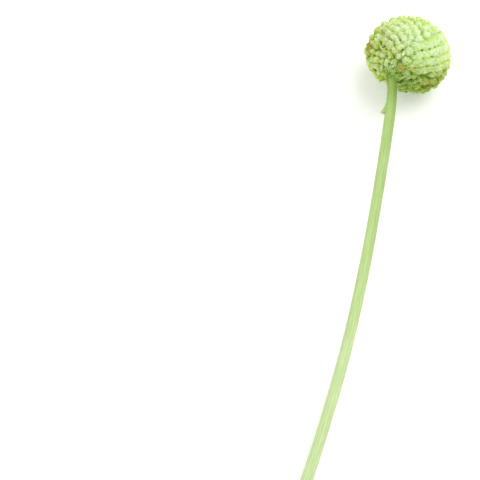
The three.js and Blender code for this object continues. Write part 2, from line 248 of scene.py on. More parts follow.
# Florets on the outline seen from the camera: their angles round the head, in degrees from the right
# through the top, how far the outline is there, and how clear each one's painted shade ring and
# highlight are
KNOBS = [
    (61.5, 15.4, 1), (74.5, 15.0, 1), (88, 15.2, 1), (101.5, 15.2, 0.7), (114, 15.5, 0.4),
    (130, 15.8, 0.3), (143, 16.2, 0.3), (156, 16.4, 0.2), (166.5, 16.6, 0.1), (191, 16.8, 0.3),
    (214, 15.7, 0.2), (312, 16.6, 0), (323.5, 16.4, 0), (331.5, 16.3, 0), (342, 16.3, 0),
    (350, 16.0, 0), (358, 16.1, 0), (9, 15.8, 0),
]
KNOB_TILT = math.radians(11)  # towards the camera
KNOB_LIFT = 0.2
KNOB_RADIUS = 1.35
KNOB_FRONT = (1.8, 3.4)  # how far before the head's middle the rings begin and are whole
KNOB_LIT = ((0, 0, 1), -0.1, 0.12)
KNOB_MIDDLE, RING_IN, RING_OUT = (0.4, 0.7), (0.55, 0.85), (1.3, 1.6)  # radii

UP = Vector((0, 0, 1))
DOWN = Vector((0, 0, -1))

# Camera
ELEVATION = math.radians(65)
YAW = math.radians(13.2)
LENS = 200
SENSOR = 36
PIXELS = 480
PIXELS_PER_MM = 2.64
HEAD_PIXEL = (408.5, 54.6)

# Stage, in metres
SQUARE = [(-1, -1), (1, -1), (1, 1), (-1, 1)]
FLOOR_HALF, FLOOR_LEVEL = 3.0, -0.00002
FLOOR_COLOUR, FLOOR_GLOW = (0.93, 0.93, 0.925, 1), 0.15
SKY_STRENGTH = 0.85
WHITE = (1, 1, 1, 1)
NOISE_ROUGHNESS = 0.55
LIGHT_AT, LIGHT_TARGET = (0.426, -0.34, 0.888), (0.08, 0, 0.01)
LIGHT_SIZE, LIGHT_POWER = 0.9, 5.0


def draws(seed):
    """The random numbers of the model, from 0 to 1."""
    state = seed
    while True:
        state = (state * 1664525 + 1013904223) & 0xFFFFFFFF
        yield state / 4294967296


def smooth(x, low, high):
    """From 0 where x is low to 1 where it is high, without corners."""
    t = np.clip((x - low) / (high - low), 0, 1)
    return t * t * (3 - 2 * t)


def unit(v):
    return v / np.linalg.norm(v, axis=-1, keepdims=True)


def srgb(r, g, b):
    """A colour as Blender wants it, from 0 to 255 numbers."""
    def linear(v):
        v /= 255
        return v / 12.92 if v <= 0.04045 else ((v + 0.055) / 1.055) ** 2.4

    return (linear(r), linear(g), linear(b), 1)


# ---- the head's shape


def floret_directions():
    """Directions of the model's florets: a spiral, with each a little out of its place."""
    random = draws(DIRECTION_SEED)
    directions = []
    for i in range(FLORETS):
        z = 1 - (2 * i + 1) / FLORETS
        across = math.sqrt(1 - z * z)
        strays = 0 if i == RESTING_FLORET else JITTER
        jitter = [strays * (2 * next(random) - 1) for _ in range(3)]
        turn = i * GOLDEN_ANGLE
        directions.append(
            (across * math.cos(turn) + jitter[0], across * math.sin(turn) + jitter[1], z + jitter[2])
        )
    return unit(np.array(directions))


def collar_at(x, y, neck):
    """How far the florets round the neck stand out further."""
    away = np.hypot(x - neck[0], y - neck[1])
    return COLLAR_HEIGHT * (1 - smooth(away, COLLAR_RADIUS * 0.6, COLLAR_RADIUS * 1.25))


def head_reach(d, neck):
    """How far the model's head reaches in some directions."""
    across = np.hypot(d[..., 0], d[..., 1])
    reach = 1 / np.hypot(across / HEAD_RADIUS, d[..., 2] / HEAD_HALF_HEIGHT)
    collar = collar_at(d[..., 0] * reach, d[..., 1] * reach, neck)
    return reach + np.where(d[..., 2] > 0, 0, collar)


def head_normal(d):
    return unit(d / np.array([HEAD_RADIUS**2, HEAD_RADIUS**2, HEAD_HALF_HEIGHT**2]))


def lay_head(directions):
    """The head's turn and middle, and its neck's place before the turn."""
    floret = directions[RESTING_FLORET]
    turn = Vector(head_normal(floret)).rotation_difference(DOWN)
    out = turn @ DOWN
    aside = math.pi - NECK_TURN - math.atan2(out.y, out.x)
    turn = Quaternion(UP, aside) @ turn
    neck = turn.inverted() @ Vector((0, 1, 0))
    neck = np.array([neck.x, neck.y, 0])
    neck *= NECK_OFFSET / np.linalg.norm(neck)
    tip = turn @ Vector(floret * head_reach(floret, neck))
    middle = np.array([*HEAD_AT, -tip.z - PRESSED])
    return np.array(turn.to_matrix()), middle, neck


DIRECTIONS = floret_directions()
TURN, MIDDLE, NECK = lay_head(DIRECTIONS)


def placed(points):
    """Points of the head, turned and moved to where it lies, and pressed flat at the surface."""
    world = points @ TURN.T + MIDDLE
    world[..., 2] = np.maximum(world[..., 2], 0)
    return world


# ---- meshes


def outward(points, faces):
    """The faces, turned round if they would face into the shape."""
    points = np.asarray(points, float)
    volume = 0
    for face in faces:
        for b, c in zip(face[1:], face[2:]):
            volume += points[face[0]] @ np.cross(points[b], points[c])
    return faces if volume > 0 else [tuple(reversed(face)) for face in faces]


def add_object(name, data):
    made = bpy.data.objects.new(name, data)
    bpy.context.scene.collection.objects.link(made)
    return made


def make_piece(name, points, faces, facts, node, material, uv=None):
    mesh = bpy.data.meshes.new(name)
    mesh.from_pydata((np.asarray(points) * MM).tolist(), [], faces)
    mesh.update()
    for key, values in facts.items():
        values = np.asarray(values, np.float32)
        kind, field = ("FLOAT", "value") if values.ndim == 1 else ("FLOAT_VECTOR", "vector")
        mesh.attributes.new(key, kind, "POINT").data.foreach_set(field, values.ravel())
    if uv is not None:
        layer = mesh.uv_layers.new(name="OFBake")
        layer.uv.foreach_set("vector", np.asarray(uv, np.float32).ravel())
    mesh.polygons.foreach_set("use_smooth", [True] * len(mesh.polygons))
    piece = add_object(name, mesh)
    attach(piece, "root")
    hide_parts(node)
    mesh.materials.append(material)


def polar_faces(rings, segments):
    """Faces of a closed shape of a first point, rings and a last point."""
    last = rings * segments + 1
    faces = []
    for m in range(segments):
        after = (m + 1) % segments
        faces.append((0, 1 + m, 1 + after))
        for k in range(rings - 1):
            a = 1 + k * segments
            faces.append((a + m, a + segments + m, a + segments + after, a + after))
        a = 1 + (rings - 1) * segments
        faces.append((a + after, a + m, last))
    return faces


# ---- the head

# The directions to the right, above and to the camera; the pole of the bands; and the camera,
# from the head's middle
RIGHT = np.array([math.sin(YAW), -math.cos(YAW), 0])
AHEAD = np.array([math.cos(YAW), math.sin(YAW), 0])
TO_CAMERA = np.array([0, 0, math.sin(ELEVATION)]) - math.cos(ELEVATION) * AHEAD
ABOVE = math.sin(ELEVATION) * AHEAD + np.array([0, 0, math.cos(ELEVATION)])
PICTURE = np.stack([RIGHT, ABOVE, TO_CAMERA])
POLE = unit(np.array(BAND_POLE)) @ PICTURE
EYE = (
    (PIXELS / 2 - HEAD_PIXEL[0]) / PIXELS_PER_MM * RIGHT
    + (HEAD_PIXEL[1] - PIXELS / 2) / PIXELS_PER_MM * ABOVE
    + PIXELS / PIXELS_PER_MM * LENS / SENSOR * TO_CAMERA
)


def facing(directions, towards, low, high):
    """How far directions of the head are turned to one of the picture, from 0 to 1."""
    return smooth((directions @ TURN.T) @ (unit(np.array(towards, float)) @ PICTURE), low, high)


def seen_at(places):
    """Directions of the head at places seen from the camera."""
    right, above = np.array(places, float).T[:2, :, None]
    flat = right * RIGHT + above * ABOVE
    sight = unit(EYE - flat)
    size = np.array([HEAD_RADIUS, HEAD_RADIUS, HEAD_HALF_HEIGHT]) - SEEN_DROP
    start, step = flat @ TURN / size, sight @ TURN / size
    a, b, c = (step**2).sum(1), (start * step).sum(1), (start**2).sum(1) - 1
    far = (np.sqrt(np.maximum(b**2 - a * c, 0)) - b) / a
    return unit((flat + far[:, None] * sight) @ TURN)


def from_band_pole(directions):
    """Distance over the head from the pole of the bands."""
    return ROUND * np.arccos((directions @ (POLE @ TURN)).clip(-1, 1))


def bands_at(directions):
    """How far florets merge into bands, from 0 to 1."""
    found = facing(directions, *BAND_SIDE)
    return found * smooth(from_band_pole(directions), BAND_PHASE - BAND_FADE, BAND_PHASE)


def seams_at(directions):
    """How clearly a seam between two bands shows, from 0 to 1."""
    across = (from_band_pole(directions) - BAND_PHASE) / BAND_STEP
    seam = np.round(across).astype(int)
    known = (seam >= 0) & (seam < len(SEAMS))
    clear = np.where(known, np.take(SEAMS, seam.clip(0, len(SEAMS) - 1)), 0)
    from_seam = BAND_STEP * np.abs(across - seam)
    zone = facing(directions, *SEAM_SIDE) * facing(directions, *SEAM_FRONT)
    return clear * zone * np.exp(-((from_seam / SEAM_WIDTH) ** 2))


def knob_directions():
    angles = np.radians([angle for angle, _, _ in KNOBS])[:, None]
    outline = np.cos(angles) * RIGHT + np.sin(angles) * ABOVE
    return unit(outline + math.tan(KNOB_TILT) * TO_CAMERA) @ TURN


def band_directions():
    """Florets side by side along circles round the pole of the bands, where they lie in bands."""
    rng = np.random.default_rng(BAND_SEED)
    start = unit(np.cross(POLE, ABOVE))
    aside = np.cross(POLE, start)
    found = []
    for band in BANDS:
        angle = (BAND_PHASE + (band + 0.5) * BAND_STEP) / ROUND
        count = int(2 * math.pi * ROUND * math.sin(angle) / BAND_PITCH)
        stray = rng.uniform(-BAND_STRAY, BAND_STRAY, count)
        turn = (np.arange(count) + 0.5 * (band % 2) + stray) * 2 * math.pi / count
        ring = np.cos(turn)[:, None] * start + np.sin(turn)[:, None] * aside
        found.append(math.cos(angle) * POLE + math.sin(angle) * ring)
    found = np.vstack(found) @ TURN
    return found[bands_at(found) > BANDED]


def wobble(points, wave, seed):
    """A smooth random number from about -1 to 1 at each point; it changes over a length in mm."""
    rng = np.random.default_rng(seed)
    total = 0
    for _ in range(6):
        wander = unit(rng.normal(size=3)) * 2 * math.pi / (wave * rng.uniform(0.8, 1.5))
        total = total + np.sin(points @ wander + rng.uniform(0, 2 * math.pi))
    return total / 2.4


def patch_grid():
    """Directions over the whole sphere, the faces between them, and a flat map of their corners."""
    step = np.tan(np.linspace(-1, 1, GRID + 1) * math.pi / 4)
    u, v = np.meshgrid(step, step, indexing="ij")
    one = np.ones_like(u)
    patches = [(one, u, v), (-one, v, u), (v, one, u), (u, -one, v), (u, v, one), (v, u, -one)]
    directions = unit(np.array(patches).transpose(0, 2, 3, 1).reshape(-1, 3))
    side = GRID + 1
    i, j = np.meshgrid(np.arange(GRID), np.arange(GRID), indexing="ij")
    first = i * side + j
    corners = np.stack([first, first + side, first + side + 1, first + 1], -1)
    faces = (corners.reshape(1, -1, 4) + np.arange(6)[:, None, None] * side**2).reshape(-1, 4)
    share = np.linspace(PATCH_MARGIN, 1 - PATCH_MARGIN, side)
    flat = np.stack(np.meshgrid(share, share, indexing="ij"), -1)
    tiles = np.array([(k % 3, k // 3) for k in range(6)])
    uv = (flat.reshape(1, -1, 2) + tiles[:, None]) / (3, 2)
    # Points that patches share are kept once
    rounded = np.round(directions * 1e5).astype(int)
    _, kept, same = np.unique(rounded, axis=0, return_index=True, return_inverse=True)
    return directions[kept], same.ravel()[faces], uv.reshape(-1, 2)[faces]


def nearest(directions, others, number):
    """Which of the others are nearest to each direction, worked out in parts to save memory."""
    found = []
    for part in np.array_split(directions.astype(np.float32), 24):
        closeness = part @ others.T.astype(np.float32)
        found.append(np.argpartition(-closeness, number, axis=1)[:, :number])
    return np.vstack(found)


def away_from_neck(points):
    """Distance from the neck's axis, or without end on the crown's side."""
    away = np.hypot(points[..., 0] - NECK[0], points[..., 1] - NECK[1])
    return np.where(points[..., 2] > 0, np.inf, away)


def near_places(directions, places, radius):
    """The greatest of some amounts, each falling off with the distance from its place."""
    found = np.zeros(len(directions))
    for centre, (_, _, amount) in zip(seen_at(places), places):
        distance = ROUND * np.arccos((directions @ centre).clip(-1, 1))
        found = np.maximum(found, amount * np.exp(-((distance / radius) ** 2)))
    return found


def lifts(directions):
    """How far the florets stand above or below the model's."""
    lift = LIFT_ALL + near_places(directions, RAISED, RAISED_RADIUS)
    for *where, amount in LIFTS:
        lift += amount * facing(directions, *where)
    away = away_from_neck(directions * HEAD_HALF_HEIGHT)
    return lift + NECK_LIFT * np.exp(-((away / NECK_LIFT_RADIUS) ** 2))


def chosen_directions():
    """The given florets and their number, then the model's and those in bands that have room."""
    banded = band_directions()
    others = DIRECTIONS[bands_at(DIRECTIONS) < BANDED]
    clear = (others @ banded.T).max(1) < math.cos(BANDED_GAP / ROUND)
    others = np.vstack([others[clear], banded])
    given = np.vstack([knob_directions(), seen_at(OPEN), seen_at(SINGLE)])
    roomy = [ring > 0 for _, _, ring in KNOBS] + [True] * len(OPEN) + [False] * len(SINGLE)
    room = np.where(roomy, ROOM, SMALL_ROOM)
    clear = (others @ given.T < np.cos(room / ROUND)).all(1)
    return np.vstack([given, others[clear]]), len(given)


class Florets:
    """Where each floret stands, how it is shaped, and its state."""

    def __init__(self):
        rng = np.random.default_rng(FLORET_SEED)
        self.directions, given = chosen_directions()
        count = len(self.directions)
        self.knob = np.arange(count) < len(KNOBS)
        self.heart = np.zeros(count)
        self.heart[len(KNOBS) : len(KNOBS) + len(OPEN)] = [amount for _, _, amount in OPEN]
        resting = self.directions @ DIRECTIONS[RESTING_FLORET] > SAME
        forward = self.directions @ (TO_CAMERA @ TURN)
        self.age = near_places(self.directions, WITHERED, WITHERED_RADIUS)
        self.merge = bands_at(self.directions) * smooth(forward, *MERGE_FRONT)
        self.merge *= 1 - WITHERED_APART * self.age
        self.merge[:given] = 0
        loose = 1 - ALIKE * self.merge
        spread = LIFT_SPREAD * loose + WITHERED_LIFT_SPREAD * self.age
        self.lift = np.where(resting, 0, spread * rng.uniform(-1, 1, count) - FLORET_DROP)
        self.lift -= self.outline_drop(forward)
        self.lift[self.knob] = KNOB_LIFT
        reach = head_reach(self.directions, NECK) + lifts(self.directions)
        stray = STRAY * loose * ~(resting | self.knob)
        self.tips = self.directions * reach[:, None]
        self.tips += stray[:, None] * rng.uniform(-1, 1, (count, 3))
        apart = np.linalg.norm(self.tips[:, None] - self.tips[None], axis=-1)
        self.size = 0.5 * np.sort(apart, axis=1)[:, 1 : NEIGHBOURS + 1].mean(1)
        self.size *= 1 + SIZE_SPREAD * loose * rng.uniform(-1, 1, count)
        self.relief = 1 + MERGED_RELIEF * self.merge + WITHERED_RELIEF * self.age
        self.relief += rng.uniform(-RELIEF_SPREAD, RELIEF_SPREAD, count)
        self.relief += ROUGHER_RELIEF * facing(self.directions, *ROUGHER)
        knob_relief = [RING_RELIEF if ring > 0 else KNOB_RELIEF for _, _, ring in KNOBS]
        self.relief[: len(KNOBS)] += knob_relief
        self.lean = rng.normal(0, LEAN, (count, 2)) * (loose * ~self.knob)[:, None]
        self.waves = rng.uniform(0, 2 * math.pi, (count, 2))
        self.seed = rng.uniform(0, 1, count)
        self.lobes = np.array([self.lobe_centres(rng) for _ in range(count)])
        self.along, self.across = self.axes()

    def outline_drop(self, forward):
        """How far each floret lies lower near the outline, by how far it faces the camera."""
        outline = smooth(forward, *OUTLINE_BEHIND) * (1 - smooth(forward, *OUTLINE_BEFORE))
        drops = [amount * facing(self.directions, *where) for *where, amount in OUTLINE_LOW]
        return outline * np.maximum.reduce(drops)

    @staticmethod
    def lobe_centres(rng):
        """Points of a floret's top where its small buds stand, the outer ones past its edge."""
        start = rng.uniform(0, 2 * math.pi)
        found = []
        for ring, number in LOBES:
            for k in range(number):
                angle = start + (k + rng.uniform(-0.25, 0.25)) * 2 * math.pi / number
                reach = ring * rng.uniform(0.85, 1.15)
                found.append((reach * math.cos(angle), reach * math.sin(angle)))
        return found

    def axes(self):
        """At each floret: along its band and across it."""
        normal = head_normal(self.directions)
        along = unit(np.cross(POLE @ TURN, self.directions))
        along = unit(along - normal * (along * normal).sum(1, keepdims=True))
        return along, np.cross(normal, along)


def knob_rings(points):
    """How far points are on the ring of painted shade round each knob, and how far inside it, in its
    painted highlight.
    """
    from_middle = points - MIDDLE
    right, above = from_middle @ RIGHT, from_middle @ ABOVE
    ring, inside = np.zeros(len(points)), np.zeros(len(points))
    for angle, far, amount in KNOBS:
        turn = math.radians(angle)
        far -= KNOB_RADIUS
        away = np.hypot(right - far * math.cos(turn), above - far * math.sin(turn))
        inside = np.maximum(inside, amount * (1 - smooth(away, *KNOB_MIDDLE)))
        on_ring = smooth(away, *RING_IN) * (1 - smooth(away, *RING_OUT))
        ring = np.maximum(ring, amount * on_ring)
    front = smooth(from_middle @ TO_CAMERA, *KNOB_FRONT)
    return ring * front, inside * front


def floret_shapes(florets, near, ground):
    """Of points of the head: their floret, where on it they are, how high and how far sunk."""
    offset = ground[:, None] - florets.tips[near]
    x = (offset * florets.along[near]).sum(-1)
    y = (offset * florets.across[near]).sum(-1)
    merge, wide = florets.merge[near], florets.size[near]
    waves, lean = florets.waves[near], florets.lean[near]
    turn = np.arctan2(y, x)
    uneven = 0.07 * np.sin(3 * turn + waves[..., 0]) + 0.04 * np.sin(5 * turn + waves[..., 1])
    out = np.hypot(x / (wide * (1 + LONGER * merge)), y / (wide * (1 - NARROWER * merge)))
    out *= 1 + (1 - EVENER * merge) * uneven
    fall = florets.relief[near] * VALLEY * out ** (STEEPNESS + STEEPER * merge)
    height = florets.lift[near] - fall + x * lean[..., 0] + y * lean[..., 1]
    highest = height.argmax(1)[:, None]
    owner, x, y, fall, top = (
        np.take_along_axis(values, highest, 1)[:, 0] for values in (near, x, y, fall, height)
    )
    blended = top + np.log(np.exp(BLEND * (height - top[:, None])).sum(1)) / BLEND
    return owner, x, y, blended, np.maximum(fall - (blended - top), 0)


def small_buds(florets, owner, x, y):
    """How far points are in the grooves between a floret's buds, and how high up on a bud."""
    spot = np.stack([x / (1 + LONGER_BUDS * florets.merge[owner]), y], -1)
    gaps = np.sort(np.linalg.norm(spot[:, None] - florets.lobes[owner], axis=-1), axis=-1)
    groove = 1 - smooth(gaps[:, 1] - gaps[:, 0], 0, GROOVE_WIDTH)
    return groove, np.maximum(0, 1 - (gaps[:, 0] / BUD_RADIUS) ** 2)


def head_piece(material):
    directions, faces, uv = patch_grid()
    florets = Florets()
    near = nearest(directions, florets.directions, NEAREST)
    reach = head_reach(directions, NECK) + lifts(directions)
    ground = directions * reach[:, None]
    stray = np.stack([wobble(ground, WANDER_WAVE, seed) for seed in WANDER_SEEDS], -1)
    owner, x, y, height, sunk = floret_shapes(florets, near, ground + WANDER * stray)
    groove, dome = small_buds(florets, owner, x, y)
    age, merge, heart = florets.age[owner], florets.merge[owner], florets.heart[owner]
    holes = near_places(directions, HOLES, HOLE_RADIUS)
    away = away_from_neck(ground)
    # Near the neck: painted shade there, and deeper grooves
    base = 1 - smooth(away, *NECK_COLOUR_RADII)
    low = facing(directions, *LOW)
    grooved = GROOVE_DEPTH + NECK_GROOVE * base + LOW_GROOVE * low
    groove = groove * (grooved + WITHERED_GROOVE * age + MERGED_GROOVE * merge)
    from_middle = np.hypot(x, y) / (HEART_RADIUS + HEART_GROWTH * heart)
    middle = heart * np.exp(-(from_middle**2))
    rough = ROUGHNESS * wobble(ground, ROUGH_WAVE, ROUGH_SEED) * (1 + WITHERED_ROUGHNESS * age)
    height = np.maximum(height, -DEEPEST) + (BUD_HEIGHT + MERGED_BUD * merge) * dome - groove
    height += rough - HEART_DEPTH * middle - holes
    height -= NECK_PIT * (1 - smooth(away, *NECK_PIT_RADII))
    points = placed(directions * (reach + height)[:, None])
    rings, knob_highlights = knob_rings(points)
    mint = facing(directions, *MINT)
    # Painted light on the upper side
    painted_light = np.maximum.reduce([share * facing(directions, *where) for *where, share in PAINTED_LIGHT])
    # Darker in the gaps: partly the florets' greener lower parts, partly painted shade
    depth = sunk / (DARKEST * florets.relief[owner].clip(0, 1))
    depth += GROOVE_DARK * groove + HOLE_DARK * holes
    # Painted light: the outline knobs paler, less so where they face the camera
    knob_light = KNOB_LIGHT - KNOB_FRONT_DARK * facing(directions, *KNOB_LIT)
    depth *= 1 - florets.knob[owner] * knob_light
    # Less painted shade in the gaps on the lit upper side and in the mint middle
    depth *= 1 - PALE_LIGHT * np.maximum(mint, painted_light)
    # Painted shade round the neck, weaker on its left
    neck_shade = NECK_LEFT_SHARE + NECK_RIGHT_SHARE * facing(directions, *NECK_RIGHT)
    withered = near_places(unit(directions + WITHERED_WANDER * stray), WITHERED, WITHERED_TINT_RADIUS)
    facts = {
        "depth": depth.clip(0, 1),
        "seed": florets.seed[owner],
        # Painted shade near the neck, more to its right
        "base": base * neck_shade,
        "mint": mint,
        # Painted shade at the listed places
        "painted_shade": near_places(directions, SHADED, SHADED_RADIUS),
        # Painted shade on the left side
        "left_shade": facing(directions, *LEFT_SHADE),
        # Painted shade on the lower side
        "low": low,
        # Painted light on the upper side
        "painted_light": painted_light,
        "age": withered,
        "eye": middle,
        # Painted shade in lime rings round the outline knobs, and lime lines along the seams between
        # bands
        "ring": np.maximum(rings, seams_at(unit(directions + SEAM_WANDER * stray))),
        # Painted shade in the deep gaps
        "hole_shade": holes,
        # Painted highlights in the knobs' middles and on floret tips
        "fleck": np.maximum(knob_highlights, near_places(directions, PALE, PALE_RADIUS)),
    }
    faces = faces.tolist()
    make_piece("florets", points, faces, facts, "flower_head", material, uv)


# ---- stem


def stem_points():
    points = []
    for distance in STEM_IN_HEAD:
        points.append(TURN @ np.array([NECK[0], NECK[1], -distance]) + MIDDLE)
    points += [np.array([x, y, 0]) + (MIDDLE[0], MIDDLE[1], z) for x, y, z in ROUTE]
    return np.array(points)


def underside_height(x, y):
    level = np.sqrt(1 - (x**2 + y**2) / HEAD_RADIUS**2)
    return -HEAD_HALF_HEIGHT * level - collar_at(x, y, NECK)


def curve_through(points, steps=80):
    """A centripetal Catmull-Rom curve, as the model's stem follows."""
    padded = np.vstack([2 * points[0] - points[1], points, 2 * points[-1] - points[-2]])
    found = []
    for a, b, c, d in zip(padded, padded[1:], padded[2:], padded[3:]):
        s0, s1, s2 = (np.linalg.norm(q - p) ** 0.5 for p, q in ((a, b), (b, c), (c, d)))
        out = ((b - a) / s0 - (c - a) / (s0 + s1) + (c - b) / s1) * s1
        into = ((c - b) / s1 - (d - b) / (s1 + s2) + (d - c) / s2) * s1
        t = (np.arange(steps) / steps)[:, None]
        square, cube = 3 * (c - b) - 2 * out - into, 2 * (b - c) + out + into
        found.append(b + out * t + square * t**2 + cube * t**3)
    return np.vstack([*found, points[-1:]])


class Route:
    """The stem's middle line, by distance from its top."""

    def __init__(self):
        self.points = curve_through(stem_points())
        steps = np.linalg.norm(np.diff(self.points, axis=0), axis=1)
        self.along = np.concatenate([[0], np.cumsum(steps)])
        self.length = self.along[-1]

    def at(self, distance):
        return np.stack([np.interp(distance, self.along, self.points[:, k]) for k in range(3)], -1)

    def axes(self, distance):
        tangent = unit(self.at(distance + TANGENT_REACH) - self.at(distance - TANGENT_REACH))
        side = unit(np.cross(tangent, (0, 0, 1)))
        return tangent, side, np.cross(side, tangent)

    def bend(self, x, along, z):
        """Points beside the stem's middle: x to its side, z over it, at a distance from its top."""
        inner = np.clip(along, TANGENT_REACH, self.length - TANGENT_REACH)
        _, side, over = self.axes(inner)
        points = self.at(along) + side * x[..., None] + over * z[..., None]
        points[..., 2] = np.maximum(points[..., 2], 0)
        return points


def stem_radius(distance):
    distances, radii = np.array(STEM_RADII, float).T
    return np.interp(distance, distances, radii)


def cut_end(route, rim, theta):
    """Rings of points over the cut end, and its middle."""
    end = np.array([route.length])
    tangent = route.axes(end - TANGENT_REACH)[0]
    caps = []
    for share, hollow in CUT_RINGS:
        inset = share * rim * (1 + 0.04 * np.cos(5 * theta + 1))
        cap = route.bend(inset * np.cos(theta), end, inset * np.sin(theta))
        caps.append(cap - tangent * hollow)
    return caps, route.bend(np.zeros(1), end, np.zeros(1)) - tangent * CUT_HOLLOW


def stem_piece(route, material):
    ends = [route.length - 0.5, route.length - 0.12, route.length]
    rings = np.array([0.0, 0.2, 0.6, *np.arange(1.2, route.length - 0.8, STEM_STEP), *ends])
    theta = np.arange(STEM_SEGMENTS) * 2 * math.pi / STEM_SEGMENTS
    around, along = theta[None], rings[:, None]
    radius = stem_radius(along)
    twist = 0.9 * np.sin(along / 37) + 0.5 * np.sin(along / 11 + 2)
    ribs = 0.5 + 0.5 * np.cos(RIBS * around + twist)
    fine = 0.5 + 0.5 * np.cos(FINE_RIBS * around + 1.7 * np.sin(along / 23 + 1))
    swell = np.sin(along / 17 + 1) + 0.6 * np.sin(along / 7.3 + 3 * np.cos(around))
    bumps = RIB_HEIGHT * ribs**2 + FINE_HEIGHT * fine + SWELL_HEIGHT * swell - LEVEL
    rounded = ((along - route.length) / CUT_ROUNDED + 1).clip(0)
    reach = radius + bumps - CUT_ROUNDING * rounded
    side = route.bend(reach * np.cos(around), along, reach * np.sin(around)).reshape(-1, 3)
    caps, middle = cut_end(route, reach[-1], theta)
    points = np.vstack([route.points[:1], side, *caps, middle])
    faces = outward(points, polar_faces(len(rings) + len(caps), STEM_SEGMENTS))
    capped = len(caps) * STEM_SEGMENTS

    def all_over(on_side, on_cut):
        """A fact of every point: the first, those round the side and those of the cut end."""
        return np.concatenate([[0], np.broadcast_to(on_side, reach.shape).ravel(), on_cut])

    none = np.zeros(capped + 1)
    pith = [PITH - share for share, _ in CUT_RINGS]
    # Painted shade: the left side is darker, most of all near the head
    shade = 1 - 0.55 * smooth(along, 4, 40) - 0.25 * smooth(along, 60, 110)
    facts = {
        "along": all_over(along, none + route.length),
        "rib": all_over(ribs, none),
        "cut": all_over(0, np.append(np.repeat(pith, STEM_SEGMENTS), PITH)),
        "shade": all_over(shade * smooth(-np.cos(around), -0.5, 0.8), none),
    }
    flow = [
        all_over(0.12 * along, none + CUT_FLOW),
        all_over(radius * np.cos(around), np.append(np.tile(np.cos(theta), len(caps)), 0)),
        all_over(radius * np.sin(around), np.append(np.tile(np.sin(theta), len(caps)), 0)),
    ]
    facts["flow"] = np.stack(flow, -1)
    make_piece("dried_stem", points, faces, facts, "stem", material)


def stub_piece(route, material):
    """A broken leaf base: it clasps the stem and rises to one tip near its lower end."""
    segments, rows = 14, 22
    u = np.linspace(-1, 1, segments)
    ridge = np.maximum(0, 1 - np.abs(u) / 0.8) ** 1.4
    points, tips, flow = [], [], []
    for share in np.linspace(0, 1, rows):
        along = STUB_FROM + share * (STUB_TO - STUB_FROM)
        radius = stem_radius(along)
        rise = (share / STUB_TIP) ** 1.6
        if share >= STUB_TIP:
            rise = ((1 - share) / (1 - STUB_TIP)) ** 0.7
        spread = STUB_SPREAD * (1 - 0.3 * share)
        angle = u * spread * (0.35 + 0.65 * math.sin(math.pi * (0.1 + 0.85 * share)))
        lip = 0.16 * np.sqrt(np.maximum(0, 1 - u**2)) + 0.05 * np.cos(9 * u) * rise
        outer = radius + lip + (STUB_REACH - radius) * rise * ridge
        inner = np.full(segments, radius - STUB_SUNK)
        droop = along + 0.5 * rise * ridge
        ring_angle = np.concatenate([angle, angle[::-1]])
        ring_radius = np.concatenate([outer, inner])
        ring_along = np.concatenate([droop, np.full(segments, along)])
        x, z = ring_radius * np.cos(ring_angle), ring_radius * np.sin(ring_angle)
        points.append(route.bend(x, ring_along, z))
        tips.append(np.concatenate([rise * ridge, np.zeros(segments)]))
        flow.append(np.stack([ring_along * 0.4, z, ring_radius], -1))
    points = np.vstack([[points[0].mean(0)], *points, [points[-1].mean(0)]])
    faces = outward(points, polar_faces(rows, 2 * segments))
    facts = {
        "tip": np.concatenate([[0], *tips, [0]]),
        "flow": np.vstack([[0, 0, 0], *flow, [0, 0, 0]]),
    }
    make_piece("leaf_base", points, faces, facts, "leaf_stub", material)


def floor_of_head(x, y):
    """Height of the florets' tips under the head, near the neck, before the head is turned."""
    z = underside_height(x, y)
    for _ in range(3):
        directions = unit(np.stack([x, y, z], -1))
        reach = head_reach(directions, NECK) + lifts(directions)
        z = -np.sqrt(reach**2 - x**2 - y**2)
    return z


def bract_piece(index, shape, material):
    """A thin, arched scale leaf that lies on the florets and points away from the neck."""
    length, width, over, curl, fresh, turned = shape
    rows, segments = 20, 18
    turn = (index + 0.25) * 2 * math.pi / len(BRACTS) + math.radians(turned)
    spoke = np.array([math.cos(turn), math.sin(turn), 0])
    side = np.array([-math.sin(turn), math.cos(turn), 0])
    t = np.linspace(0.0, 1, rows + 2)[1:-1]
    reach = BRACT_FOOT + length * t
    x, y = NECK[0] + spoke[0] * reach, NECK[1] + spoke[1] * reach
    arch = 0.25 * np.sin(math.pi * t)
    z = floor_of_head(x, y) + BRACT_SUNK - over - curl * t**2 - arch
    middle = np.stack([x, y, z], -1)
    tangent = unit(np.gradient(middle, axis=0))
    out = unit(np.cross(tangent, side))
    out *= -np.sign(out[:, 2:])
    half = 0.5 * width * (1 - t) ** 0.6 * (t + 0.25) ** 0.5 * 1.5
    thick = BRACT_THICKNESS * (1 - 0.6 * t)
    phi = np.arange(segments) * 2 * math.pi / segments
    across = half[:, None] * np.cos(phi)
    fold = 0.06 * np.cos(7 * np.cos(phi))[None] * np.sin(math.pi * t)[:, None]
    over_it = thick[:, None] * np.sin(phi) - 0.55 * across**2 / (half[:, None] + 0.3) + fold
    points = middle[:, None] + side * across[..., None] + out[:, None] * over_it[..., None]
    first = middle[0] - spoke * 0.1
    last = middle[-1] + tangent[-1] * 0.12
    points = np.vstack([[first], points.reshape(-1, 3), [last]])
    faces = outward(points, polar_faces(rows, segments))
    size = rows * segments
    along = np.concatenate([[0], np.repeat(t, segments), [1]])
    facts = {
        "tip": along,
        "fresh": np.full(size + 2, fresh),
        "flow": np.stack([along * length * 0.35, np.pad(across.ravel() * 2, 1), 0 * along], -1),
    }
    name, node = f"scale_leaf_{index + 1}", f"bract_{index + 1}"
    make_piece(name, placed(points), faces, facts, node, material)


# ---- materials


